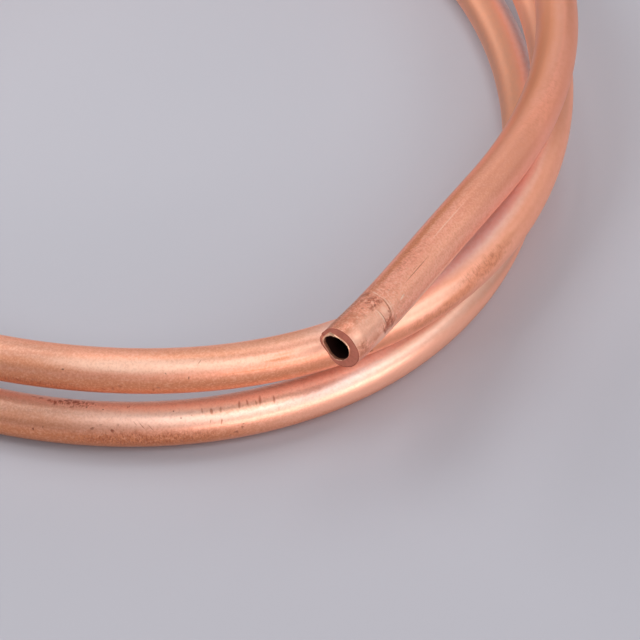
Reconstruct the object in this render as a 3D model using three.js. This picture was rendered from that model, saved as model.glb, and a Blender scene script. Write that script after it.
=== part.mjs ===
import * as THREE from 'three';

// A metre of soft copper tube wound into a loose coil of two and a half turns, lying on its side.
// The turns have slipped sideways on each other, and each one steps down to the next on one side of
// the coil. The top turn ends in a lead that has sprung open and up, cut square with a wheel cutter.

// Driving dimensions, in millimetres. Angles are in degrees, counter-clockwise from +X seen from above.
const tubeDiameter = 6;
const wallThickness = 1;
const tubeLength = 1000;
const coilRadius = 60;
const turnGap = 0.3;

// The laid turns from the top down, in shares of coilRadius. Each is a circle of its own radius whose
// centre has slipped along X and Y, pulled slightly oval along X and along the diagonal.
const laidTurns = [
  { radius: 1.017, slipX: -0.16, slipY: 0.27, ovalX: -0.02, ovalDiagonal: 0.01 },
  { radius: 1.024, slipX: -0.16, slipY: 0.31, ovalX: -0.005, ovalDiagonal: -0.065 },
  { radius: 1, slipX: -0.185, slipY: 0.23, ovalX: -0.01, ovalDiagonal: -0.06 },
];

// The side of the coil where every turn passes over into the next, as angles in the first turn.
const crossoverStart = 30;
const crossoverEnd = 245;

// The free end of the top turn, sprung outwards and lifted.
const leadAngle = -65.5;
const leadSweep = 46;
const leadSpring = 11;
const leadLift = 4.8;

// The wheel cutter rolls the mouth in a little, and its burr narrows the bore.
const rollInDepth = 0.15;
const rollInLength = 0.7;
const burrHeight = 0.1;
const burrLength = 0.4;

// Facets of the solid.
const ringSides = 16;
const pathSteps = 150;
const lengthSamplesPerDegree = 2;

const fullTurn = 360;
const outerRadius = tubeDiameter / 2;
const boreRadius = outerRadius - wallThickness;
const turnPitch = tubeDiameter + turnGap;

// The shape of a turn by its number from the top. Tube left over below the last laid turn spirals
// inwards beside it, one pitch for every turn.
function turnShape(turnNumber) {
  const lowest = laidTurns.length - 1;
  const extraTurns = Math.max(turnNumber - lowest, 0);
  return { ...laidTurns[Math.min(turnNumber, lowest)], inset: extraTurns * turnPitch };
}

// Distance of a turn from the winding axis in one direction.
function turnDistance(turnNumber, angle) {
  const { radius, slipX, slipY, ovalX, ovalDiagonal, inset } = turnShape(turnNumber);
  const direction = THREE.MathUtils.degToRad(angle);
  const slip = slipX * Math.cos(direction) + slipY * Math.sin(direction);
  const oval = ovalX * Math.cos(2 * direction) + ovalDiagonal * Math.sin(2 * direction);
  return coilRadius * (radius + slip + oval) - inset;
}

// Height of a turn's centreline.
function turnHeight(turnNumber) {
  const turnsBelow = Math.max(laidTurns.length - 1 - turnNumber, 0);
  return outerRadius + turnsBelow * turnPitch;
}

// A point of the centreline. The angle grows along the tube, past 360 degrees, from the free lead.
function centrelinePoint(angle) {
  const turnNumber = Math.max(Math.floor((angle - crossoverStart) / fullTurn), 0);
  const angleInTurn = angle - turnNumber * fullTurn;
  const crossed = THREE.MathUtils.smoothstep(angleInTurn, crossoverStart, crossoverEnd);
  const freeShare = THREE.MathUtils.clamp(1 - (angle - leadAngle) / leadSweep, 0, 1) ** 2;
  const distance = THREE.MathUtils.lerp(
    turnDistance(turnNumber, angle),
    turnDistance(turnNumber + 1, angle),
    crossed,
  );
  const height = THREE.MathUtils.lerp(turnHeight(turnNumber), turnHeight(turnNumber + 1), crossed);
  const direction = THREE.MathUtils.degToRad(angle);
  const reach = distance + leadSpring * freeShare;
  return new THREE.Vector3(
    reach * Math.cos(direction),
    reach * Math.sin(direction),
    height + leadLift * freeShare,
  );
}

// The centreline as a curve of exactly the tube's length.
class CoilCentreline extends THREE.Curve {
  constructor() {
    super();
    this.endAngle = leadAngle;
    let length = 0;
    let previous = centrelinePoint(leadAngle);
    while (length < tubeLength) {
      this.endAngle += 1 / lengthSamplesPerDegree;
      const next = centrelinePoint(this.endAngle);
      const stepLength = next.distanceTo(previous);
      length += stepLength;
      previous = next;
      if (length > tubeLength) {
        this.endAngle -= (length - tubeLength) / stepLength / lengthSamplesPerDegree;
      }
    }
    this.arcLengthDivisions = Math.ceil((this.endAngle - leadAngle) * lengthSamplesPerDegree);
  }

  getPoint(fraction) {
    return centrelinePoint(THREE.MathUtils.lerp(leadAngle, this.endAngle, fraction));
  }
}

// Distances along the tube of the rings that the wall is lofted through, closer at both mouths.
function ringDistances() {
  const mouthDistances = [0, burrLength, rollInLength];
  const distances = [...mouthDistances];
  const bodyLength = tubeLength - 2 * rollInLength;
  for (let step = 1; step < pathSteps; step += 1) {
    distances.push(rollInLength + (bodyLength * step) / pathSteps);
  }
  mouthDistances.reverse().forEach((distance) => distances.push(tubeLength - distance));
  return distances;
}

// How much of a mouth's shape is left at a distance from the nearer end: all at 0, none at length.
function mouthShare(distance, length) {
  const fromNearerEnd = Math.min(distance, tubeLength - distance);
  return THREE.MathUtils.clamp(1 - fromNearerEnd / length, 0, 1);
}

// A hollow wall lofted through rings along the centreline, closed by a flat annulus at each mouth.
function tubeGeometry(centreline) {
  const distances = ringDistances();
  const up = new THREE.Vector3(0, 0, 1);
  const positions = [];
  for (const distance of distances) {
    const centre = centreline.getPointAt(distance / tubeLength);
    const along = centreline.getTangentAt(distance / tubeLength);
    const across = new THREE.Vector3().crossVectors(along, up).normalize();
    const above = new THREE.Vector3().crossVectors(across, along);
    const outer = outerRadius - rollInDepth * mouthShare(distance, rollInLength);
    const inner = boreRadius - burrHeight * mouthShare(distance, burrLength);
    for (const ringRadius of [outer, inner]) {
      for (let side = 0; side < ringSides; side += 1) {
        const turned = (side / ringSides) * 2 * Math.PI;
        const point = centre.clone();
        point.addScaledVector(across, ringRadius * Math.cos(turned));
        point.addScaledVector(above, ringRadius * Math.sin(turned));
        positions.push(...point);
      }
    }
  }

  const triangles = [];
  const quad = (a, b, c, d) => triangles.push(a, b, c, a, c, d);
  const onOuter = (ring, side) => ring * 2 * ringSides + (side % ringSides);
  const onBore = (ring, side) => onOuter(ring, side) + ringSides;
  const lastRing = distances.length - 1;
  for (let side = 0; side < ringSides; side += 1) {
    const next = side + 1;
    for (let ring = 0; ring < lastRing; ring += 1) {
      quad(onOuter(ring, side), onOuter(ring + 1, side), onOuter(ring + 1, next), onOuter(ring, next));
      quad(onBore(ring, side), onBore(ring, next), onBore(ring + 1, next), onBore(ring + 1, side));
    }
    quad(onOuter(0, side), onOuter(0, next), onBore(0, next), onBore(0, side));
    quad(
      onOuter(lastRing, next),
      onOuter(lastRing, side),
      onBore(lastRing, side),
      onBore(lastRing, next),
    );
  }

  const geometry = new THREE.BufferGeometry();
  geometry.setAttribute('position', new THREE.Float32BufferAttribute(positions, 3));
  geometry.setIndex(triangles);
  geometry.computeVertexNormals();
  return geometry;
}

// The coil stands on z = 0, with the middle of its outline over the origin.
function centreOnFloor(geometry) {
  geometry.computeBoundingBox();
  const middle = geometry.boundingBox.getCenter(new THREE.Vector3());
  geometry.translate(-middle.x, -middle.y, -geometry.boundingBox.min.z);
  return geometry;
}

const bareCopper = new THREE.MeshStandardMaterial({ color: 0xc07a52, roughness: 0.35, metalness: 1 });

const copperTube = new THREE.Mesh(centreOnFloor(tubeGeometry(new CoilCentreline())), bareCopper);
copperTube.name = 'copper_tube';

const coil = new THREE.Group();
coil.add(copperTube);

export default coil;
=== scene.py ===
import math

import bpy
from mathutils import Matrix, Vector, noise


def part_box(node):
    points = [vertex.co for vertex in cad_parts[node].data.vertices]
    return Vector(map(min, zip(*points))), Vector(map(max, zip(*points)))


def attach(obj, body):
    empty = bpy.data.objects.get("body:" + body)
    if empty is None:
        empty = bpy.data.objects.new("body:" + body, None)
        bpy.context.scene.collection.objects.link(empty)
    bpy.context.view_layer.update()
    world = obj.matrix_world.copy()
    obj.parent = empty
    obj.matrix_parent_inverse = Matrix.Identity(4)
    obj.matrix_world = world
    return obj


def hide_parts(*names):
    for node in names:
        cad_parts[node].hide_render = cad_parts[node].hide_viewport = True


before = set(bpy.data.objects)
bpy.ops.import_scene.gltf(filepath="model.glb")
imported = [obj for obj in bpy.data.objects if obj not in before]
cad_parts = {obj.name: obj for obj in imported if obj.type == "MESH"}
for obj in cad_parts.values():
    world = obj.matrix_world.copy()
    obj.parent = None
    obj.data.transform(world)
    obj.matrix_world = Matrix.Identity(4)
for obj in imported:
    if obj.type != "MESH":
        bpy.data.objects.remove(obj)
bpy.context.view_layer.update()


def mm(value):
    return value / 1000


def hexColor(code):
    # sRGB hex to linear, with full alpha
    channels = [int(code[i:i + 2], 16) / 255 for i in (0, 2, 4)]
    linear = [c / 12.92 if c <= 0.04045 else ((c + 0.055) / 1.055) ** 2.4 for c in channels]
    return (*linear, 1.0)


def addNode(tree, kind, inputs=(), output=0, **settings):
    # adds one node: inputs are sockets to link or plain values, and one of its outputs is handed back
    node = tree.nodes.new(kind)
    for name, value in settings.items():
        setattr(node, name, value)
    for key, value in (inputs.items() if isinstance(inputs, dict) else enumerate(inputs)):
        if isinstance(value, bpy.types.NodeSocket):
            tree.links.new(value, node.inputs[key])
        else:
            node.inputs[key].default_value = value
    return node.outputs[output] if len(node.outputs) else node


def smoothStep(low, high, value):
    share = min(max((value - low) / (high - low), 0), 1)
    return share * share * (3 - 2 * share)


# the coil's centreline, in millimetres and degrees about the winding axis
coil = {
    "tubeDiameter": 6,
    "wall": 1,
    "length": 1000,
    "radius": 60,
    "turnGap": 0.3,
    "turns": [  # from the top turn down, in shares of the radius
        {"radius": 1.017, "slipX": -0.16, "slipY": 0.27, "ovalX": -0.02, "ovalDiagonal": 0.01},
        {"radius": 1.024, "slipX": -0.16, "slipY": 0.31, "ovalX": -0.005, "ovalDiagonal": -0.065},
        {"radius": 1, "slipX": -0.185, "slipY": 0.23, "ovalX": -0.01, "ovalDiagonal": -0.06},
    ],
    "crossover": (30, 245),
    "leadAngle": -65.5,
    "leadSweep": 46,
    "leadSpring": 11,
    "leadLift": 4.8,
    "rollIn": 0.15,
    "pointSpacing": 0.5,
    "angleStep": 0.25,
}
turnPitch = coil["tubeDiameter"] + coil["turnGap"]
outerRadius = coil["tubeDiameter"] / 2
boreRadius = outerRadius - coil["wall"]


def turnDistance(number, angle):
    last = len(coil["turns"]) - 1
    turn = coil["turns"][min(number, last)]
    direction = math.radians(angle)
    slip = turn["slipX"] * math.cos(direction) + turn["slipY"] * math.sin(direction)
    oval = turn["ovalX"] * math.cos(2 * direction) + turn["ovalDiagonal"] * math.sin(2 * direction)
    return coil["radius"] * (turn["radius"] + slip + oval) - max(number - last, 0) * turnPitch


def turnHeight(number):
    turnsBelow = max(len(coil["turns"]) - 1 - number, 0)
    return outerRadius + turnsBelow * turnPitch


def centrePoint(angle):
    number = max(math.floor((angle - coil["crossover"][0]) / 360), 0)
    crossed = smoothStep(*coil["crossover"], angle - number * 360)
    free = min(max(1 - (angle - coil["leadAngle"]) / coil["leadSweep"], 0), 1) ** 2
    reach = turnDistance(number, angle) * (1 - crossed) + turnDistance(number + 1, angle) * crossed
    height = turnHeight(number) * (1 - crossed) + turnHeight(number + 1) * crossed
    reach += coil["leadSpring"] * free
    height += coil["leadLift"] * free
    direction = math.radians(angle)
    return Vector((reach * math.cos(direction), reach * math.sin(direction), height))


def centreline():
    # points at even steps along the tube, from the free mouth to the tail
    angle, travelled = coil["leadAngle"], 0.0
    fine = [(0.0, centrePoint(angle))]
    while travelled < coil["length"] + coil["pointSpacing"]:
        angle += coil["angleStep"]
        point = centrePoint(angle)
        travelled += (point - fine[-1][1]).length
        fine.append((travelled, point))
    points, index = [], 0
    count = round(coil["length"] / coil["pointSpacing"])
    for step in range(count + 1):
        wanted = step * coil["length"] / count
        while fine[index + 1][0] < wanted:
            index += 1
        (lengthBefore, before), (lengthAfter, after) = fine[index], fine[index + 1]
        points.append(before.lerp(after, (wanted - lengthBefore) / (lengthAfter - lengthBefore)))
    return points


def tubeFrame(points, step):
    # along the tube, outwards from the coil, and the side that faces up
    along = (points[min(step + 1, len(points) - 1)] - points[max(step - 1, 0)]).normalized()
    across = along.cross(Vector((0, 0, 1))).normalized()
    return along, across, across.cross(along)


pathPoints = centreline()
cadLow, cadHigh = [Vector(corner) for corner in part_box("copper_tube")]


def windingAxis():
    # the winding axis in the frame, whose origin is under the middle of the coil's outline
    low, high = [math.inf] * 2, [-math.inf] * 2
    for step, point in enumerate(pathPoints):
        along = tubeFrame(pathPoints, step)[0]
        rim = outerRadius - (coil["rollIn"] if step in (0, len(pathPoints) - 1) else 0)
        for i in range(2):
            half = rim * math.sqrt(1 - along[i] ** 2)
            low[i], high[i] = min(low[i], point[i] - half), max(high[i], point[i] + half)
    middle = (cadLow + cadHigh) / 2
    return Vector((middle.x - mm(low[0] + high[0]) / 2, middle.y - mm(low[1] + high[1]) / 2, 0))


axisPlace = windingAxis()
framePoints = [axisPlace + point / 1000 for point in pathPoints]
print("centreline of", len(framePoints), "points from", [round(v * 1000, 2) for v in framePoints[0]])

# the tube's skin: a grid rolled up round the tube and round its wall, so that it closes on itself
tubeSkin = {
    "sides": 96,
    "body": {"start": 1.0, "end": 1.5, "fineUpTo": 12, "fineStep": 0.25, "step": 2},  # ends are from the tail
    "bore": {"start": 2.0, "end": 3, "fineUpTo": 20, "fineStep": 1, "step": 8},
    "mouthStations": [0.06, 0.14, 0.25, 0.4, 0.55, 0.7, 0.85],
    "rollInLength": 0.7,
    "rollInPower": 1.5,
    "faceRadii": [2.8, 2.72, 2.62, 2.52, 2.42, 2.32, 2.22],
    "lipWalk": [(0.005, 2.16), (0.02, 2.08), (0.05, 2.0), (0.08, 1.95), (0.12, 1.92),
                (0.3, 1.94), (0.5, 1.97), (0.9, 2.0)],  # into the tube and from its middle
    "lipEdge": 4,  # the step of that walk at the narrowest place
    "mergeWithin": 0.001,
    "wavinessDepth": 0.02,
    "wavinessLength": 16,
    "seed": 4,
}


def steppedStations(start, end, fineUpTo, fineStep, step):
    # distances along the tube, closer together near the free mouth
    stations, station = [], start
    while station < coil["length"] - end:
        stations.append(station)
        station += fineStep if station < fineUpTo else step
    return stations


def rolledRadius(distance):
    fromEnd = min(distance, coil["length"] - distance)
    share = max(1 - fromEnd / tubeSkin["rollInLength"], 0)
    return outerRadius - coil["rollIn"] * share ** tubeSkin["rollInPower"]


def wallWalk():
    # (distance, radius) round the wall: outer skin to the tail, over its lip, back down the bore
    nearMouth, length = tubeSkin["mouthStations"], coil["length"]
    skin = nearMouth + steppedStations(**tubeSkin["body"]) + [length - d for d in reversed(nearMouth)]
    lip = [(0.0, r) for r in tubeSkin["faceRadii"]] + tubeSkin["lipWalk"]
    walk = [(d, rolledRadius(d)) for d in skin] + [(length - d, r) for d, r in lip]
    walk += [(d, boreRadius) for d in reversed(steppedStations(**tubeSkin["bore"]))]
    walk += reversed(lip)
    return walk + walk[:1]


def meshObject(name, vertices, faces=()):
    mesh = bpy.data.meshes.new(name)
    mesh.from_pydata(vertices, [], list(faces))
    obj = bpy.data.objects.new(name, mesh)
    bpy.context.scene.collection.objects.link(obj)
    return obj


def layTubeAlongPath():
    tree = bpy.data.node_groups.new("layTubeAlongPath", "GeometryNodeTree")
    for name, kind in (
        ("Path", "Geometry"), ("Wall Walk", "Object"), ("Sides", "Int"), ("Outer Radius", "Float"),
        ("Bore Radius", "Float"), ("Waviness Depth", "Float"), ("Waviness Length", "Float"),
        ("Seed", "Float"), ("Material", "Material"),
    ):
        tree.interface.new_socket(name, in_out="INPUT", socket_type="NodeSocket" + kind)
    tree.interface.new_socket("Tube", in_out="OUTPUT", socket_type="NodeSocketGeometry")
    given = tree.nodes.new("NodeGroupInput").outputs
    maths, vectorMaths = "ShaderNodeMath", "ShaderNodeVectorMath"

    # a grid with one column for each station of the wall's walk and one row for each side
    walk = addNode(tree, "GeometryNodeObjectInfo", {"Object": given["Wall Walk"]}, "Geometry")
    stations = addNode(tree, "GeometryNodeAttributeDomainSize", {"Geometry": walk}, component="MESH")
    rows = addNode(tree, maths, (given["Sides"], 1.0), operation="ADD")
    grid = addNode(tree, "GeometryNodeMeshGrid", {"Vertices X": stations, "Vertices Y": rows})
    index = addNode(tree, "GeometryNodeInputIndex")
    # half an index more keeps the division from falling just short of a whole column
    halfMore = addNode(tree, maths, (index, 0.5), operation="ADD")
    columnsPassed = addNode(tree, maths, (halfMore, rows), operation="DIVIDE")
    column = addNode(tree, maths, (columnsPassed,), operation="FLOOR")
    before = addNode(tree, maths, (column, rows), operation="MULTIPLY")
    side = addNode(tree, maths, (index, before), operation="SUBTRACT")
    sideShare = addNode(tree, maths, (side, given["Sides"]), operation="DIVIDE")
    turned = addNode(tree, maths, (sideShare, 2 * math.pi), operation="MULTIPLY")
    cosine = addNode(tree, maths, (turned,), operation="COSINE")
    sine = addNode(tree, maths, (turned,), operation="SINE")
    spot = addNode(tree, "GeometryNodeInputPosition")
    station = addNode(tree, "GeometryNodeSampleIndex", {"Geometry": walk, "Value": spot, "Index": column},
                      data_type="FLOAT_VECTOR")
    split = tree.nodes.new("ShaderNodeSeparateXYZ")
    tree.links.new(station, split.inputs[0])
    distance, radius = split.outputs[0], split.outputs[1]

    # the outer skin swells and shrinks a little, as drawn and hand-wound tube does
    x = addNode(tree, maths, (cosine, given["Outer Radius"]), operation="MULTIPLY")
    y = addNode(tree, maths, (sine, given["Outer Radius"]), operation="MULTIPLY")
    skinSpot = addNode(tree, "ShaderNodeCombineXYZ", (x, y, distance))
    wavesPerMetre = addNode(tree, maths, (1.0, given["Waviness Length"]), operation="DIVIDE")
    wave = addNode(tree, "ShaderNodeTexNoise",
                   {"Vector": skinSpot, "W": given["Seed"], "Scale": wavesPerMetre, "Detail": 1.0},
                   noise_dimensions="4D")
    onSkin = addNode(tree, "ShaderNodeMapRange",
                     {"Value": radius, "From Min": given["Bore Radius"], "From Max": given["Outer Radius"]})
    centred = addNode(tree, maths, (wave, 0.5), operation="SUBTRACT")
    depth = addNode(tree, maths, (given["Waviness Depth"], onSkin), operation="MULTIPLY")
    wavy = addNode(tree, maths, (centred, depth, radius), operation="MULTIPLY_ADD")

    # every point goes to its side of the path
    path = addNode(tree, "GeometryNodeSampleCurve", {"Curves": given["Path"], "Length": distance},
                   "Position", mode="LENGTH")
    tangent = path.node.outputs["Tangent"]
    flat = addNode(tree, vectorMaths, (tangent, (0, 0, 1)), operation="CROSS_PRODUCT")
    across = addNode(tree, vectorMaths, (flat,), operation="NORMALIZE")
    above = addNode(tree, vectorMaths, (across, tangent), operation="CROSS_PRODUCT")
    sidewaysBy = addNode(tree, maths, (wavy, cosine), operation="MULTIPLY")
    sideways = addNode(tree, vectorMaths, {0: across, "Scale": sidewaysBy}, operation="SCALE")
    upwardsBy = addNode(tree, maths, (wavy, sine), operation="MULTIPLY")
    upwards = addNode(tree, vectorMaths, {0: above, "Scale": upwardsBy}, operation="SCALE")
    offset = addNode(tree, vectorMaths, (sideways, upwards), operation="ADD")
    place = addNode(tree, vectorMaths, (path, offset), operation="ADD")
    rolled = addNode(tree, "GeometryNodeSetPosition", {"Geometry": grid, "Position": place})

    # the point's place on the straight tube, in millimetres: across, above and along
    x = addNode(tree, maths, (radius, cosine), operation="MULTIPLY")
    y = addNode(tree, maths, (radius, sine), operation="MULTIPLY")
    metres = addNode(tree, "ShaderNodeCombineXYZ", (x, y, distance))
    straight = addNode(tree, vectorMaths, {0: metres, "Scale": 1000.0}, operation="SCALE")
    marked = addNode(tree, "GeometryNodeStoreNamedAttribute",
                     {"Geometry": rolled, "Name": "straightTube", "Value": straight},
                     data_type="FLOAT_VECTOR")
    closed = addNode(tree, "GeometryNodeMergeByDistance",
                     {"Geometry": marked, "Distance": mm(tubeSkin["mergeWithin"])})
    smooth = addNode(tree, "GeometryNodeSetShadeSmooth", {"Geometry": closed})
    real = addNode(tree, "GeometryNodeRealizeInstances", {"Geometry": smooth})
    finished = addNode(tree, "GeometryNodeSetMaterial", {"Geometry": real, "Material": given["Material"]})
    tree.links.new(finished, tree.nodes.new("NodeGroupOutput").inputs[0])
    return tree


def pathObject(points):
    data = bpy.data.curves.new("tubePath", "CURVE")
    data.dimensions = "3D"
    spline = data.splines.new("POLY")
    spline.points.add(len(points) - 1)
    for splinePoint, point in zip(spline.points, points):
        splinePoint.co = (*point, 1)
    obj = bpy.data.objects.new("tubePath", data)
    bpy.context.scene.collection.objects.link(obj)
    return obj


def layTube(material):
    walkObject = meshObject("wallWalk", [(mm(d), mm(r), 0) for d, r in wallWalk()])
    path = pathObject(framePoints)
    modifier = path.modifiers.new("layTube", "NODES")
    modifier.node_group = layTubeAlongPath()
    values = {
        "Wall Walk": walkObject,
        "Sides": tubeSkin["sides"],
        "Outer Radius": mm(outerRadius),
        "Bore Radius": mm(boreRadius),
        "Waviness Depth": mm(2 * tubeSkin["wavinessDepth"]),  # noise reaches half of it to either side
        "Waviness Length": mm(tubeSkin["wavinessLength"]),
        "Seed": float(tubeSkin["seed"]),
        "Material": material,
    }
    for item in modifier.node_group.interface.items_tree:
        if item.name in values:
            modifier[item.identifier] = values[item.name]
    evaluated = path.evaluated_get(bpy.context.evaluated_depsgraph_get())
    piece = bpy.data.objects.new("copperTube", bpy.data.meshes.new_from_object(evaluated))
    bpy.context.scene.collection.objects.link(piece)
    path.modifiers.remove(modifier)
    bpy.data.objects.remove(path)
    bpy.data.objects.remove(walkObject)
    return piece


# the free mouth as the cutter left it; angles are in degrees from the top, outwards positive
mouth = {
    "outline": [(1, 2.67), (31, 2.65), (56, 2.71), (78, 2.94), (99, 3.03), (128, 2.96), (152, 2.86),
                (-176, 2.73), (-159, 2.56), (-137, 2.38), (-117, 2.61), (-105, 2.92), (-87, 3.05),
                (-63, 2.88), (-33, 2.81)],
    "faceInner": [(10, 1.47), (30, 1.49), (58, 1.59), (91, 1.58), (117, 1.66), (138, 1.75), (155, 1.82),
                  (170, 1.99), (-177, 2.06), (-152, 2.12), (-129, 2.07), (-117, 2.2), (-101, 2.58),
                  (-91, 2.67), (-67, 2.41), (-53, 2.41), (-45, 2.38), (-36, 2.09), (-25, 1.79), (-10, 1.58)],
    "lip": [(11, 1.31), (36, 1.34), (54, 1.42), (73, 1.48), (93, 1.55), (117, 1.62), (142, 1.7),
            (165, 1.86), (-177, 1.99), (-152, 2.05), (-129, 2), (-115, 2.12), (-101, 2.35), (-91, 2.3),
            (-76, 2.26), (-63, 2), (-47, 1.71), (-30, 1.46), (-11, 1.37)],
    "outlineFade": 2.2,
    "lipFade": 2.6,
    "burr": 0.18,  # stands out of the face at the edge of the bore
    "burrCrest": 0.2,  # where it is highest, as a share of the way from the lip's edge to the face
    "sag": 0.1,
    "sagFade": 12,
    "nick": {"around": -83, "core": 1.8, "halfWidth": 6, "depth": 0.35, "innermost": 2.3, "fade": (0.1, 0.9)},
    "ragged": {"depth": 0.03, "perMillimetre": 1.9, "stretch": 0.5, "onFace": 0.6},
    "torn": {"around": -55, "core": 18, "halfWidth": 45, "depth": 0.09},
    "ridgeFade": (25, 5),  # degrees before and after a ridge's end
    "ridges": [  # rings left by the cutter's first try: along, height, half width, and from and to in degrees
        (8.55, 0.035, 0.2, -35, 75),
        (8.15, -0.03, 0.2, -180, 180),
        (8.95, -0.025, 0.18, -60, 100),
        (6.35, 0.03, 0.2, 5, 100),
        (6.75, -0.025, 0.2, -60, 140),
        (5.95, -0.02, 0.2, -20, 120),
    ],
}


def roundCurve(controls, angle):
    # smooth closed curve through (angle, value) pairs
    ring = sorted((a % 360, value) for a, value in controls)
    angle %= 360
    following = next((i for i, (a, _) in enumerate(ring) if a > angle), 0)
    farBefore, before = ring[following - 2], ring[following - 1]
    after, farAfter = ring[following], ring[(following + 1) % len(ring)]
    span = (after[0] - before[0]) % 360
    share = ((angle - before[0]) % 360) / span
    slopeIn = (after[1] - farBefore[1]) / ((after[0] - farBefore[0]) % 360) * span
    slopeOut = (farAfter[1] - before[1]) / ((farAfter[0] - before[0]) % 360) * span
    square, cube = share ** 2, share ** 3
    return ((2 * cube - 3 * square + 1) * before[1] + (cube - 2 * square + share) * slopeIn
            + (3 * square - 2 * cube) * after[1] + (cube - square) * slopeOut)


def angleBetween(first, second):
    return abs((first - second + 180) % 360 - 180)


def raggedEdge(x, y, distance, turned):
    # how far torn metal stands out of the lip, more of it where the wheel broke through
    ragged, torn = mouth["ragged"], mouth["torn"]
    atTear = 1 - smoothStep(torn["core"], torn["halfWidth"], angleBetween(turned, torn["around"]))
    spot = Vector((x, y, distance * ragged["stretch"])) * ragged["perMillimetre"]
    return noise.noise(spot) * (ragged["depth"] + torn["depth"] * atTear)


def ridgeHeight(distance, turned):
    total = 0.0
    for place, height, halfWidth, low, high in mouth["ridges"]:
        reach = math.exp(-((distance - place) / halfWidth) ** 2)
        half = (high - low) / 2
        before, after = mouth["ridgeFade"]
        fade = smoothStep(half - before, half + after, angleBetween(turned, (low + high) / 2))
        total += height * reach * (1 - fade if half < 180 else 1)
    return total


def mouthShift(x, y, distance):
    # how far a point near the mouth moves away from the tube's middle and along the tube
    radius, turned = math.hypot(x, y), math.degrees(math.atan2(x, y))
    skinEdge, faceEnd = tubeSkin["faceRadii"][0], tubeSkin["faceRadii"][-1]
    lipDistance, lipRadius = tubeSkin["lipWalk"][tubeSkin["lipEdge"]]
    outline = roundCurve(mouth["outline"], turned)
    faceInner = roundCurve(mouth["faceInner"], turned)
    lip = roundCurve(mouth["lip"], turned)
    ragged = raggedEdge(x, y, distance, turned)
    rounding = 0.001
    along = 0.0
    if radius >= skinEdge - rounding:
        outwards = (outline - radius) * (1 - smoothStep(0, mouth["outlineFade"], distance))
        outwards += ridgeHeight(distance, turned)
    elif radius >= faceEnd - rounding:
        share = (radius - faceEnd) / (skinEdge - faceEnd)
        outwards = faceInner + (outline - faceInner) * share - radius
        along = ragged * mouth["ragged"]["onFace"]
    else:
        share = 0
        if distance <= lipDistance:
            share = min(max((radius - lipRadius) / (faceEnd - lipRadius), 0), 1)
        shaped = lip + (faceInner - lip) * share + ragged * (1 - share)
        nominal = lipRadius + (faceEnd - lipRadius) * share
        outwards = (shaped - nominal) * (1 - smoothStep(lipDistance, mouth["lipFade"], distance))
        crest = mouth["burrCrest"]
        along = -mouth["burr"] * math.sin(math.pi / 2 * min((1 - share) / (1 - crest), share / crest))
    nick = mouth["nick"]
    if radius > nick["innermost"]:
        notch = 1 - smoothStep(nick["core"], nick["halfWidth"], angleBetween(turned, nick["around"]))
        along += nick["depth"] * notch * (1 - smoothStep(*nick["fade"], distance))
    return outwards, along


def shapeMouth(mesh):
    straight = mesh.attributes["straightTube"].data
    for vertex in mesh.vertices:
        x, y, distance = straight[vertex.index].vector
        if distance > mouth["sagFade"]:
            continue
        outwards, alongShift = mouthShift(x, y, distance)
        along, across, above = tubeFrame(framePoints, round(distance / coil["pointSpacing"]))
        move = (across * x + above * y) * (outwards / math.hypot(x, y)) + along * alongShift
        move -= above * mouth["sag"] * (1 - smoothStep(0, mouth["sagFade"], distance))
        vertex.co += move / 1000
    mesh.update()


# soft copper tube, drawn and then annealed: drawing leaves fine lines along it and annealing a dull,
# faintly dimpled skin with brown oxide; winding by hand adds scuffs, scratches and polish, and paler and
# darker patches carry painted highlights and painted shade
finish = {
    "warmCopper": "f7ae91",
    "pinkCopper": "fdbda3",
    "leadCopper": "f2a084",
    "leadPink": "faae9a",
    "leadPaintedHighlight": "ffb69a",
    "palerToneAndPaintedLight": "ffd9c8",
    "tarnish": "d98a5c",
    "paleFlecksAndPaintedHighlight": "ffd2ba",
    "paintedPolishHighlight": "ffc6ac",
    "straw": "e0926a",
    "olive": "c0714e",
    "rust": "a8573a",
    "umber": "93432a",
    "paintedShade": "b98872",
    "paintedPaleLight": "ecdfe0",
    "paintedEdgeShade": "a0603f",
    "ringPink": "ffdcc4",
    "darkBrown": "55301f",
    "fresh": "ffcaa6",
    "boreTan": "cc8a70",
    "cutFace": "d88670",
    "boreNearBlack": "2c0f09",
    "metallic": 0.6,
    "roughness": 0.38,
}

# noise on the skin: width round the tube and length along it in millimetres, detail and roughness
skinPatterns = {
    "clouds": (5, 16, 3, 0.5),
    "drawLines": (0.25, 9, 3, 0.5),  # coarser than the real lines, which are too fine to show
    "dimples": (0.45, 0.5, 2, 0.5),
    "mottles": (0.7, 0.9, 4, 0.62),
    "speckles": (0.28, 0.3, 3, 0.6),
    "ticks": (0.6, 0.22, 3, 0.55),
    "wander": (0.9, 1.0, 2, 0.5),
}

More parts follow.
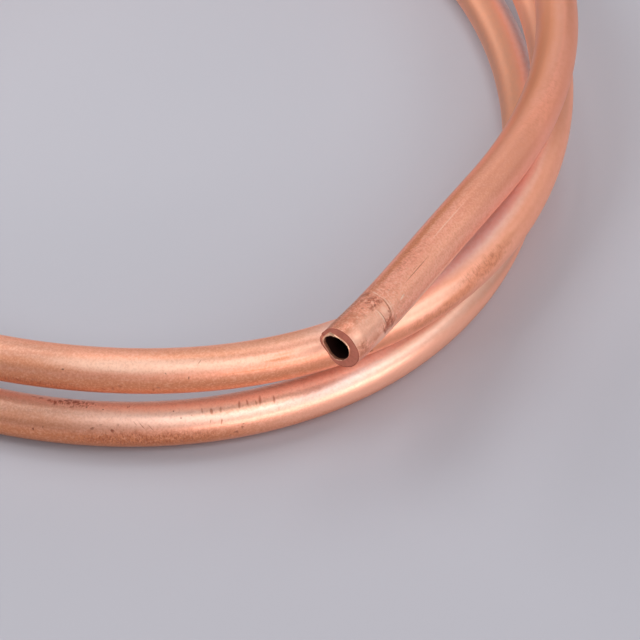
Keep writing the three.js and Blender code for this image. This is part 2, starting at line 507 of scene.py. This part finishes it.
# where the marks lie: along the tube in millimetres, degrees from the top with outwards positive,
# half length, half width, turn in degrees and strength
marks = {
    "onLead": [(0, 0, 140, 60, 0, 1)],
    "onMiddleTurn": [(390, 0, 110, 60, 0, 1)],
    "onLowTurn": [(735, 0, 170, 60, 0, 1)],
    # painted highlight: the low turn's top is painted paler so its highlight comes out whiter, over some real
    # paler tone
    "lowTop": [(800, 8, 62, 3.9, 0, 1)],
    "nearSides": [(10, 0, 42, 60, 0, 1), (372, 0, 45, 60, 0, 1), (772, 0, 50, 60, 0, 1)],
    # painted shade: darker patches that dim highlights and sides that come out too bright
    "paintedShade": [
        (42, 20, 15, 3.2, 0, 0.4), (50, -9, 34, 1.5, 0, 0.3), (66, -60, 26, 3, 0, 0.7),
        (66, 0, 22, 1.6, 0, 0.4), (72, 0, 26, 40, 0, 0.16), (360, 12, 11, 1.8, 0, 0.6),
        (459, 25, 17, 2.4, 0, 0.4), (463, -45, 28, 3.4, 0, 1), (754, 12, 17, 2, 0, 0.8),
        (811, 24, 13, 1.2, 0, 0.6), (830, 46, 13, 2.3, 0, 0.5), (872, -45, 55, 3.8, 0, 1),
    ],
    # painted shade: darker brown along the lead's inner edge, under the middle turn and beside a highlight
    "paintedEdgeShade": [
        (4, -50, 9, 1.3, 0, 0.9), (30, -66, 34, 1.2, 0, 0.6), (362, 122, 14, 1.2, 0, 0.7),
        (829, 46, 13, 2.2, 0, 0.4),
    ],
    "outOfView": [(215, 0, 160, 60, 0, 1), (590, 0, 150, 60, 0, 1), (965, 0, 95, 60, 0, 1)],
    "shadedEdge": [(750, 127, 48, 1.6, 0, 1)],
    "drawStreaks": [
        (389, 60, 6, 0.15, 0, 0.4), (393, 43, 3.6, 0.25, 0, 0.7), (394.5, 33, 3.2, 0.2, 0, 0.5),
    ],
    "nearMouth": [(3, 0, 14, 60, 0, 1)],
    # painted highlights and painted light: near-white patches on highlights and in shaded gaps between turns
    "paintedPaleLight": [
        (400, 36, 2.6, 0.8, 0, 0.85), (420, -15, 28, 1.9, 0, 0.9), (778, -48, 50, 1.1, 0, 0.8),
        (790, -20, 18, 1.4, 0, 0.45), (798, 20, 12, 2.2, 0, 0.45), (806, -12, 24, 1.8, 0, 0.7),
        (872, 52, 55, 2.6, 0, 1),
    ],
    "farSides": [(200, 0, 100, 60, 0, 1), (530, 0, 90, 60, 0, 1), (885, 0, 90, 60, 0, 1)],
    # painted light: the sides of the crevices between turns and under the mouth are painted paler, lifting
    # the shade there
    "paintedLightInCrevices": [
        (428, -8, 50, 2.2, 0, 1), (804, -8, 24, 2.2, 0, 1), (815, -20, 40, 1.8, 0, 1),
        (872, 38, 55, 2.4, 0, 1),
    ],
    # painted highlight: the lead's outer side near the mouth is painted paler where its highlight falls
    "leadPaintedHighlight": [(3, 45, 12, 2.6, 0, 1), (17, 50, 26, 2.4, 0, 1)],
    "stains": [
        (1.2, 70, 1.4, 1, 0, 0.5), (7.2, 76, 1.8, 1.4, 0, 0.8), (7.4, 3, 1.9, 1.3, 0, 0.7),
        (763, -16, 4.4, 1.2, 0, 0.8),
    ],
    "spots": [
        (4.3, 8, 0.35, 0.7, 0, 0.25), (5.4, -2, 0.28, 0.28, 0, 0.5), (6, 14, 0.35, 0.6, 0, 0.65),
        (6.2, 86, 0.35, 0.5, 0, 0.8), (6.3, 11, 0.35, 0.3, 0, 0.6), (6.4, -11, 0.3, 0.3, 0, 0.6),
        (6.6, 78, 0.6, 0.9, 0, 0.65), (6.8, -27, 0.7, 0.5, 0, 0.35), (6.8, 70, 0.32, 0.32, 0, 0.8),
        (6.9, 13, 0.42, 0.4, 0, 1), (7.4, 2, 0.28, 0.28, 0, 0.6), (7.8, -7, 0.4, 0.35, 0, 0.6),
        (7.9, 83, 0.7, 0.8, 0, 0.8), (8, 49, 0.25, 0.28, 0, 0.5), (8, 61, 0.45, 0.7, 0, 0.55),
        (8.1, 16, 0.6, 0.6, 0, 0.55), (8.3, 44, 0.25, 0.28, 0, 0.6), (8.5, -32, 0.8, 0.9, 0, 0.6),
        (8.7, 77, 0.6, 0.8, 0, 0.4), (10, -4, 0.2, 0.25, 0, 0.4), (10.6, 11, 0.2, 0.3, 0, 0.4),
        (12, 49, 0.2, 0.15, 0, 0.6), (404.9, 103, 0.5, 0.45, 0, 0.8), (757.6, -22, 0.6, 0.2, 0, 0.4),
        (758.3, 70, 0.22, 0.25, 0, 0.9), (758.5, -22, 0.5, 0.3, 0, 0.6), (759.6, -17, 0.4, 0.45, 0, 0.7),
        (759.7, 64, 0.25, 0.15, 0, 0.5), (760.6, -9, 0.35, 0.6, 10, 0.9), (761.3, -16, 0.5, 0.4, 0, 0.8),
        (762, -24, 0.5, 0.35, 0, 0.95), (762.4, -29, 0.4, 0.3, 0, 1), (763.1, -4, 0.3, 0.2, 0, 0.7),
        (763.2, -19, 0.5, 0.35, 0, 0.8), (763.6, 0, 0.25, 0.2, 0, 0.5), (764.4, -21, 0.3, 0.3, 0, 0.6),
        (765.6, -20, 0.2, 0.45, 0, 0.6), (765.9, 54, 0.4, 0.2, 20, 0.7), (767, 45, 0.3, 0.12, 0, 0.5),
        (768.4, 57, 0.3, 0.3, 0, 0.95), (769.3, 44, 0.25, 0.2, 0, 0.4), (770.4, -12, 0.15, 0.45, 0, 0.5),
        (783.2, 95, 0.25, 0.3, 0, 0.5), (784, 86, 0.3, 0.4, -40, 0.8), (784.9, 64, 0.2, 0.2, 0, 0.6),
        (784.9, 76, 0.2, 0.35, 0, 0.7),
    ],
    "olive": [
        (0.4, -21, 0.6, 0.5, 0, 0.6), (0.6, 11, 0.7, 0.7, 0, 0.8), (0.7, 84, 0.6, 0.6, 0, 0.6),
        (1, -17, 0.8, 0.6, 0, 0.6), (1.3, 67, 0.8, 0.7, 0, 0.9), (1.6, 88, 1, 0.6, 0, 0.7),
        (2.1, -15, 1, 0.9, 0, 0.6), (2.4, 6, 0.8, 0.7, 0, 0.5), (2.8, 73, 1, 0.5, 0, 0.6),
        (3.3, -12, 1.1, 0.9, 0, 0.6), (4, 61, 0.3, 0.3, 0, 0.5), (4, 75, 1.4, 0.9, 0, 0.6),
        (10.5, -39, 1, 0.5, 0, 0.5), (10.7, -5, 0.5, 0.6, 0, 0.4), (11.4, -44, 1.4, 0.5, 0, 0.5),
    ],
    "streaked": [
        (18, -10, 9, 1.6, 0, 0.5), (54, 20, 14, 2.2, 0, 0.2), (140, 60, 12, 1.6, 0, 0.7),
        (205, -30, 16, 2, 0, 0.5), (262, 95, 14, 1.8, 0, 0.8), (318, 20, 9, 1.4, 0, 0.5),
        (360, 96, 10, 1.2, 0, 0.8), (415, 85, 9, 1.2, 0, 0.4), (424, 60, 8, 2, 0, 0.5),
        (520, 100, 16, 2, 0, 0.7), (610, 30, 12, 1.8, 0, 0.5), (668, 80, 14, 1.6, 0, 0.8),
        (772, 84, 14, 1.7, 0, 1), (930, 70, 14, 2, 0, 0.6),
    ],
    "tarnish": [
        (22, -25, 22, 0.9, 0, 0.6), (66, -30, 24, 1.8, 0, 0.5), (360, 45, 10, 1.2, 0, 0.5),
        (370, 92, 60, 2.2, 0, 0.8), (384, 0, 11, 1.7, 0, 0.4), (394, -16, 9, 1.6, 0, 0.4),
        (414, 88, 6, 0.9, 0, 0.5), (419, 74, 5, 1.2, 0, 0.5), (421, 66, 5, 1.1, 0, 0.3),
        (425.5, 60, 4, 1.5, 0, 0.45), (429, 50, 4, 1, 0, 0.3), (758, 58, 9, 2.2, 0, 0.4),
        (764, 94, 40, 2.3, 0, 0.9), (788, 24, 14, 0.8, 0, 0.5), (796, 112, 20, 1.2, 0, 0.5),
        (814, 101, 16, 1.2, 0, 0.45), (872, -36, 60, 2.6, 0, 0.2),
    ],
    # painted highlights and painted reflections: a paler base under highlights so they come out whiter, with
    # a few real bright streaks
    "paleFlecksAndPaintedHighlight": [
        (18, 108, 16, 1.2, 0, 0.7), (27.5, 9, 6, 0.14, 0, 0.6), (375, 29, 17, 1.4, 0, 0.9),
        (386, 36, 9, 1, 0, 0.6), (392, 27, 3, 0.2, 0, 0.5), (395, 52, 3.2, 0.25, 0, 0.7),
        (398, 36, 6, 1.3, 0, 0.8), (413, 47, 10, 1.5, 0, 0.7), (782, -22, 46, 2.6, 0, 0.8),
        (812, 40, 14, 1.4, 0, 0.4), (830, 30, 26, 2.4, 0, 0.6),
    ],
    # real polish, which is smoother, with a painted highlight: its paler colour stands in for the light it
    # catches
    "polishAndPaintedHighlight": [
        (0.6, 43, 1.1, 1.1, 0, 1), (1.4, 45, 1.7, 1.2, 0, 0.7), (2.5, 45, 9, 2.3, 0, 0.55),
        (3.6, 46, 1.6, 0.8, 0, 0.5), (6.4, 46, 3.6, 1.2, 0, 0.6), (6.4, 98, 4, 1.5, 0, 1),
        (7.4, 38, 0.7, 0.9, 0, 1), (7.4, 45, 1.4, 1.7, 0, 0.4), (808, 84, 28, 1.6, 0, 0.6),
    ],
    "dots": [
        (118, 40, 0.25, 0.2, 0, 1), (171, 75, 0.2, 0.3, 0, 0.9), (243, 10, 0.3, 0.2, 30, 1),
        (286, 60, 0.2, 0.2, 0, 0.9), (334, 85, 0.25, 0.2, 0, 1), (365.1, 47, 0.22, 0.16, 0, 1),
        (378.2, 48, 0.2, 0.12, -40, 0.6), (381.1, 62, 0.12, 0.3, 0, 0.8), (548, 50, 0.3, 0.25, 0, 1),
        (633, 95, 0.25, 0.3, 0, 0.9), (702, 15, 0.2, 0.2, 0, 1), (758.3, 70, 0.16, 0.16, 0, 0.7),
        (764.9, -3, 0.16, 0.16, 0, 1), (767.1, 2, 0.16, 0.13, 0, 0.9), (776.3, 10, 0.16, 0.14, 0, 0.9),
        (777.2, 30, 0.18, 0.12, 0, 0.9),
    ],
    "scuffs": [
        (16.8, 30, 4.2, 0.08, 0, 1), (17, 24, 1, 0.05, 0, 0.5), (359.3, 95, 0.6, 0.25, -35, 0.8),
        (370.3, 98, 0.5, 0.22, -40, 0.7), (371.5, 94, 0.25, 0.5, 0, 0.7),
        (372.4, 84, 0.4, 0.25, -30, 0.7), (376.6, 96, 0.25, 0.4, 0, 0.7),
        (377.2, 88, 0.4, 0.25, -30, 0.7), (379.3, 106, 0.3, 0.3, 0, 0.6), (382.6, 23, 0.6, 0.1, 50, 0.7),
        (770.3, -8, 0.1, 0.35, 0, 0.8), (771.3, 38, 0.5, 0.09, -50, 0.6), (772.2, 45, 0.8, 0.1, -50, 0.7),
        (773.3, 50, 0.8, 0.1, -50, 0.6), (778.6, 25, 0.18, 0.14, 0, 0.6), (780, 16, 0.18, 0.6, 0, 0.7),
        (780.9, 46, 0.1, 0.4, -20, 0.6), (781.2, 21, 0.3, 0.65, 0, 1), (782.3, 50, 0.14, 0.55, -15, 0.9),
        (782.4, 20, 0.2, 0.65, -10, 0.7), (784.9, 15, 0.24, 0.8, -12, 0.9), (786, 13, 0.2, 0.7, 0, 0.8),
        (787.1, 19, 0.17, 0.55, 0, 0.7), (787.7, 14, 0.26, 0.95, -12, 0.9),
        (789.5, 20, 0.23, 0.8, -8, 0.9), (789.8, 46, 0.08, 0.45, -12, 0.5),
    ],
    "brightScratches": [
        (0.05, 45, 0.12, 1.2, 0, 0.8), (5.85, 31, 0.08, 0.7, -20, 0.6), (6.38, 45, 0.13, 1.6, 4, 1),
        (8.72, 35, 0.14, 1.8, -9, 1), (8.85, 0, 0.07, 0.7, -9, 0.6), (9.1, -12, 0.09, 0.9, -9, 0.9),
        (9.15, 36, 0.07, 0.8, -12, 0.6), (11.5, 49, 0.9, 0.17, 10, 1),
    ],
    "darkRings": [
        (5.95, 76, 0.1, 0.9, 0, 0.9), (6.62, 48, 0.1, 1.4, 4, 0.7), (8.42, 34, 0.13, 1.9, -9, 0.8),
    ],
}
roughEdged = ("stains", "spots", "olive", "streaked", "tarnish")
markFade = 0.7  # the outer share of a mark over which it fades

# layers of colour from the bottom up: colour, the masks that bound it and its strength
colorLayers = [
    ("pinkCopper", ("cloudy",), 0.4),
    ("leadCopper", ("onLead",), 0.95),
    ("leadPink", ("onLead", "cloudy"), 0.45),
    # painted highlight on the lead's outer side
    ("leadPaintedHighlight", ("leadPaintedHighlight",), 0.9),
    # painted highlight on the low turn's top, over some real paler tone
    ("palerToneAndPaintedLight", ("lowTop",), 1),
    # painted light in the crevices between turns
    ("palerToneAndPaintedLight", ("paintedLightInCrevices",), 0.8),
    # painted shade on the dimmed patches
    ("paintedShade", ("paintedShade",), 0.95),
    ("leadCopper", ("outOfView",), 0.6),
    ("tarnish", ("patchy", "outOfView"), 0.45),
    ("rust", ("speckled", "outOfView"), 0.14),
    # painted highlights, and painted light in shaded gaps
    ("paintedPaleLight", ("paintedPaleLight",), 0.85),
    # painted shade along edges
    ("paintedEdgeShade", ("paintedEdgeShade",), 0.8),
    ("darkBrown", ("shadedEdge",), 0.6),
    ("tarnish", ("tarnish",), 1),
    ("tarnish", ("drawStreaks",), 1),
    # painted highlights and painted reflections; the flecked layers below use the same colour for real pale
    # grain
    ("paleFlecksAndPaintedHighlight", ("paleFlecksAndPaintedHighlight",), 1),
    ("straw", ("mottled",), 0.15),
    ("rust", ("speckled", "nearSides"), 0.14),
    ("paleFlecksAndPaintedHighlight", ("flecked", "nearSides"), 0.25),
    ("rust", ("mottled", "nearMouth"), 0.14),
    ("paleFlecksAndPaintedHighlight", ("flecked", "nearMouth"), 0.35),
    ("rust", ("streaked", "ticked"), 0.6),
    ("rust", ("streaked", "mottled"), 0.35),
    ("olive", ("olive",), 0.75),
    # painted highlight on the polished places
    ("paintedPolishHighlight", ("polishAndPaintedHighlight",), 1),
    ("rust", ("stains", "mottled"), 0.8),
    ("umber", ("stains", "speckled"), 0.6),
    ("umber", ("spots",), 0.8),
    ("darkBrown", ("dots",), 0.75),
    ("rust", ("scuffs",), 0.7),
    ("umber", ("darkRings",), 0.8),
    ("ringPink", ("brightScratches",), 0.85),
    # the cut face is dull and brown, the lip of the bore fresh metal and the bore near black a little past
    # the lip
    ("cutFace", ("faceStart", "onWall"), 1),
    ("rust", ("faceStart", "mottled"), 0.25),
    ("umber", ("faceStart", "onRim"), 0.5),
    ("fresh", ("inside", "lipStart"), 1),
    ("boreTan", ("behindLip", "lipStart"), 1),
    ("boreNearBlack", ("inBore", "pastLip"), 1),
]

# roughness and relief, the relief in millimetres: the masks or patterns and what they add
roughnessSteps = [
    (("lined",), 0.02), (("onLead",), 0.05), (("onMiddleTurn",), 0.06), (("onLowTurn",), -0.02),
    (("farSides",), 0.12), (("stains",), 0.12), (("streaked",), 0.05), (("polishAndPaintedHighlight",), -0.08),
    (("inside", "lipStart"), -0.22), (("faceStart", "onWall"), 0.12), (("inBore", "pastLip"), 0.2),
]
reliefSteps = [
    (("dimples", "nearSides"), 0.009), (("dimples",), 0.002), (("drawLines",), 0.001),
    (("speckles",), 0.0015), (("scuffs",), -0.005), (("brightScratches",), 0.006),
    (("darkRings",), -0.015), (("stains", "speckles"), 0.006),
]


def markGroup():
    # one soft-edged oval mark on the unrolled skin
    tree = bpy.data.node_groups.new("skinMark", "ShaderNodeTree")
    for name, kind in (("Spot", "Vector"), ("Place", "Vector"), ("Turn", "Vector"), ("Size", "Vector"),
                       ("Strength", "Float")):
        tree.interface.new_socket(name, in_out="INPUT", socket_type="NodeSocket" + kind)
    tree.interface.new_socket("Mark", in_out="OUTPUT", socket_type="NodeSocketFloat")
    given = tree.nodes.new("NodeGroupInput").outputs
    local = addNode(tree, "ShaderNodeMapping", (given["Spot"], given["Place"], given["Turn"], given["Size"]),
                    vector_type="TEXTURE")
    nearness = addNode(tree, "ShaderNodeTexGradient", {"Vector": local}, "Fac", gradient_type="SPHERICAL")
    soft = addNode(tree, "ShaderNodeMapRange", {"Value": nearness, "From Min": 0.0, "From Max": markFade},
                   interpolation_type="SMOOTHSTEP")
    mark = addNode(tree, "ShaderNodeMath", (soft, given["Strength"]), operation="MULTIPLY")
    tree.links.new(mark, tree.nodes.new("NodeGroupOutput").inputs[0])
    return tree


def annealedCopper():
    material = bpy.data.materials.new("annealedCopper")
    material.use_nodes = True
    tree = material.node_tree
    shader = tree.nodes["Principled BSDF"]
    maths, vectorMaths = "ShaderNodeMath", "ShaderNodeVectorMath"
    onTube = addNode(tree, "ShaderNodeAttribute", output="Vector", attribute_name="straightTube")
    split = tree.nodes.new("ShaderNodeSeparateXYZ")
    tree.links.new(onTube, split.inputs[0])
    x, y, along = split.outputs
    # the skin unrolled: millimetres from the top of the tube, and along it
    turned = addNode(tree, maths, (x, y), operation="ARCTAN2")
    around = addNode(tree, maths, (turned, outerRadius), operation="MULTIPLY")
    unrolled = addNode(tree, "ShaderNodeCombineXYZ", (around, along, 0.0))
    flatSpot = addNode(tree, "ShaderNodeCombineXYZ", (x, y, 0.0))
    radius = addNode(tree, vectorMaths, (flatSpot,), "Value", operation="LENGTH")

    masks = {}
    for seed, (name, (width, length, detail, roughness)) in enumerate(skinPatterns.items(), 1):
        cells = addNode(tree, vectorMaths, (onTube, (1 / width, 1 / width, 1 / length)), operation="MULTIPLY")
        masks[name] = addNode(
            tree, "ShaderNodeTexNoise",
            {"Vector": cells, "W": float(seed), "Scale": 1.0, "Detail": detail, "Roughness": roughness},
            noise_dimensions="4D")

    # a ragged copy of the unrolled skin, for marks with broken edges
    shift = addNode(tree, maths, (masks["wander"], 0.5), operation="SUBTRACT")
    shiftBoth = addNode(tree, vectorMaths, {0: (1, 1, 0), "Scale": shift}, operation="SCALE")
    ragged = addNode(tree, vectorMaths, (unrolled, shiftBoth), operation="ADD")
    group = markGroup()
    for name, spots in marks.items():
        total = 0.0
        for place, degrees, halfLength, halfWidth, turn, strength in spots:
            node = tree.nodes.new("ShaderNodeGroup")
            node.node_tree = group
            tree.links.new(ragged if name in roughEdged else unrolled, node.inputs["Spot"])
            node.inputs["Place"].default_value = (math.radians(degrees) * outerRadius, place, 0)
            node.inputs["Turn"].default_value = (0, 0, math.radians(turn))
            node.inputs["Size"].default_value = (halfWidth, halfLength, 1)
            node.inputs["Strength"].default_value = strength
            total = addNode(tree, maths, (total, node.outputs[0]), operation="MAXIMUM")
        masks[name] = total

    # more masks: what is read, where it is 0 and where it is 1
    for name, source, none, full in (
        ("cloudy", masks["clouds"], 0.42, 0.62),
        ("patchy", masks["clouds"], 0.56, 0.42),
        ("mottled", masks["mottles"], 0.42, 0.6),
        ("speckled", masks["speckles"], 0.5, 0.6),
        ("flecked", masks["speckles"], 0.5, 0.38),
        ("ticked", masks["ticks"], 0.48, 0.62),
        ("lined", masks["drawLines"], 0.35, 0.65),
        ("faceStart", along, 0.05, 0.02),
        ("onWall", radius, 2.16, 2.24),
        ("onRim", radius, 2.7, 2.78),
        ("inside", radius, 2.21, 2.15),
        ("behindLip", radius, 2.02, 1.96),
        ("lipStart", along, 0.45, 0.3),
        ("inBore", radius, 2.4, 2.2),
        ("pastLip", along, 0.26, 0.4),
    ):
        masks[name] = addNode(
            tree, "ShaderNodeMapRange", {"Value": source, "From Min": none, "From Max": full},
            interpolation_type="SMOOTHSTEP")

    # a Mix node's colours are its inputs 6 and 7, and the mixed colour is its output 2
    color = hexColor(finish["warmCopper"])
    for name, parts, strength in colorLayers:
        amount = strength
        for part in parts:
            amount = addNode(tree, maths, (amount, masks[part]), operation="MULTIPLY")
        color = addNode(tree, "ShaderNodeMix", {0: amount, 6: color, 7: hexColor(finish[name])}, 2,
                        data_type="RGBA")
    tree.links.new(color, shader.inputs["Base Color"])

    added = []
    for total, steps in ((finish["roughness"], roughnessSteps), (0.0, reliefSteps)):
        for parts, change in steps:
            amount = change
            for part in parts:
                amount = addNode(tree, maths, (amount, masks[part]), operation="MULTIPLY")
            total = addNode(tree, maths, (total, amount), operation="ADD")
        added.append(total)
    tree.links.new(added[0], shader.inputs["Roughness"])
    bump = addNode(tree, "ShaderNodeBump", {"Strength": 1.0, "Distance": mm(1), "Height": added[1]})
    tree.links.new(bump, shader.inputs["Normal"])
    shader.inputs["Metallic"].default_value = finish["metallic"]
    return material


piece = layTube(annealedCopper())
shapeMouth(piece.data)
print("tube of", len(piece.data.vertices), "points and", len(piece.data.polygons), "faces")
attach(piece, "root")
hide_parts("copper_tube")

# plain grey paper, with painted shade that makes it a little darker towards the front
paper = {
    "halfWidth": 1.5,  # metres
    "farColor": "b7b7c0",
    "nearColor": "aeaeb7",
    "darkerUpTo": -70,  # millimetres in front of the coil's middle
    "roughness": 0.6,
}


def greyPaper():
    material = bpy.data.materials.new("greyPaper")
    material.use_nodes = True
    tree = material.node_tree
    shader = tree.nodes["Principled BSDF"]
    split = tree.nodes.new("ShaderNodeSeparateXYZ")
    tree.links.new(addNode(tree, "ShaderNodeTexCoord", output="Object"), split.inputs[0])
    near = addNode(
        tree, "ShaderNodeMapRange",
        {"Value": split.outputs[1], "From Min": 0.0, "From Max": mm(paper["darkerUpTo"])},
        interpolation_type="SMOOTHSTEP")
    colors = {0: near, 6: hexColor(paper["farColor"]), 7: hexColor(paper["nearColor"])}
    tree.links.new(addNode(tree, "ShaderNodeMix", colors, 2, data_type="RGBA"), shader.inputs["Base Color"])
    shader.inputs["Roughness"].default_value = paper["roughness"]
    return material


edge = paper["halfWidth"]
floor = meshObject("floor", [(-edge, -edge, 0), (edge, -edge, 0), (edge, edge, 0), (-edge, edge, 0)],
                   [(0, 1, 2, 3)])
floor.data.materials.append(greyPaper())

view = {
    "pitch": 48,  # degrees down
    "distance": 438.7,
    "focalPixels": 3200,  # focal length in the pixels of a frame this wide
    "frameWidth": 640,
    "sensor": 36,
    "middleX": 19.74,  # where it aims on the floor, from the winding axis
    "middleY": -25.81,
}
cameraData = bpy.data.cameras.new("camera")
cameraData.sensor_width = view["sensor"]
cameraData.lens = view["sensor"] * view["focalPixels"] / view["frameWidth"]
camera = bpy.data.objects.new("camera", cameraData)
bpy.context.scene.collection.objects.link(camera)
pitch = math.radians(view["pitch"])
middle = axisPlace + Vector((mm(view["middleX"]), mm(view["middleY"]), 0))
camera.location = middle + Vector((0, -math.cos(pitch), math.sin(pitch))) * mm(view["distance"])
camera.rotation_euler = (math.pi / 2 - pitch, 0, 0)
bpy.context.scene.camera = camera

# softboxes a metre away, aimed at the coil: compass bearing from the far side towards the right and
# height in degrees, size in metres, power in watts; the two near the floor are faintly warm
softboxes = {
    "keyLow": {"bearing": 138, "height": 28, "width": 0.35, "tall": 0.3, "power": 0.5},
    "keyMiddle": {"bearing": 138, "height": 45, "width": 0.4, "tall": 0.3, "power": 0.25},
    "keyHigh": {"bearing": 138, "height": 64, "width": 0.4, "tall": 0.3, "power": 1.4},
    "keyFloor": {"bearing": 128, "height": 10, "width": 0.4, "tall": 0.2, "power": 1.9, "color": "ffe7df"},
    "keyRight": {"bearing": 112, "height": 40, "width": 0.4, "tall": 0.3, "power": 1.2},
    "frontLow": {"bearing": 160, "height": 30, "width": 0.4, "tall": 0.3, "power": 0.25},
    "frontMiddle": {"bearing": 160, "height": 47, "width": 0.4, "tall": 0.3, "power": 0.85},
    "frontHigh": {"bearing": 170, "height": 68, "width": 0.5, "tall": 0.4, "power": 0.5},
    "frontFloor": {"bearing": 156, "height": 12, "width": 0.4, "tall": 0.2, "power": 1.75, "color": "ffe2d8"},
    "backHigh": {"bearing": 0, "height": 62, "width": 0.7, "tall": 0.4, "power": 1.6},
    "backLow": {"bearing": 10, "height": 25, "width": 0.8, "tall": 0.35, "power": 0.87},
    "leftLow": {"bearing": 290, "height": 28, "width": 0.6, "tall": 0.4, "power": 3.9},
    "leftHigh": {"bearing": 290, "height": 58, "width": 0.6, "tall": 0.4, "power": 2.9},
    "rightMiddle": {"bearing": 75, "height": 48, "width": 0.6, "tall": 0.4, "power": 0.66},
    "rightLow": {"bearing": 70, "height": 18, "width": 0.5, "tall": 0.3, "power": 0.5},
    "mouthSide": {"bearing": 235, "height": 38, "width": 0.3, "tall": 0.2, "power": 1.0},
    "backRight": {"bearing": 45, "height": 40, "width": 0.5, "tall": 0.4, "power": 0.27},
}


def addSoftbox(name, bearing, height, width, tall, power, color="ffffff"):
    data = bpy.data.lights.new(name, "AREA")
    data.shape = "RECTANGLE"
    data.size, data.size_y = width, tall
    data.energy = power
    data.color = hexColor(color)[:3]
    light = bpy.data.objects.new(name, data)
    bearing, height = math.radians(bearing), math.radians(height)
    away = Vector((math.sin(bearing) * math.cos(height), math.cos(bearing) * math.cos(height),
                   math.sin(height)))
    light.location = away
    light.rotation_euler = (-away).to_track_quat("-Z", "Y").to_euler()
    bpy.context.scene.collection.objects.link(light)


for name, settings in softboxes.items():
    addSoftbox(name, **settings)

room = {"color": "ffffff", "strength": 0.005}
world = bpy.data.worlds.new("studio")
world.use_nodes = True
roomLight = world.node_tree.nodes["Background"]
roomLight.inputs["Color"].default_value = hexColor(room["color"])
roomLight.inputs["Strength"].default_value = room["strength"]
bpy.context.scene.world = world
# a plain display curve, so that bright copper keeps its colour
bpy.context.scene.view_settings.view_transform = "Standard"
print("floor, camera and", len(softboxes), "softboxes set")
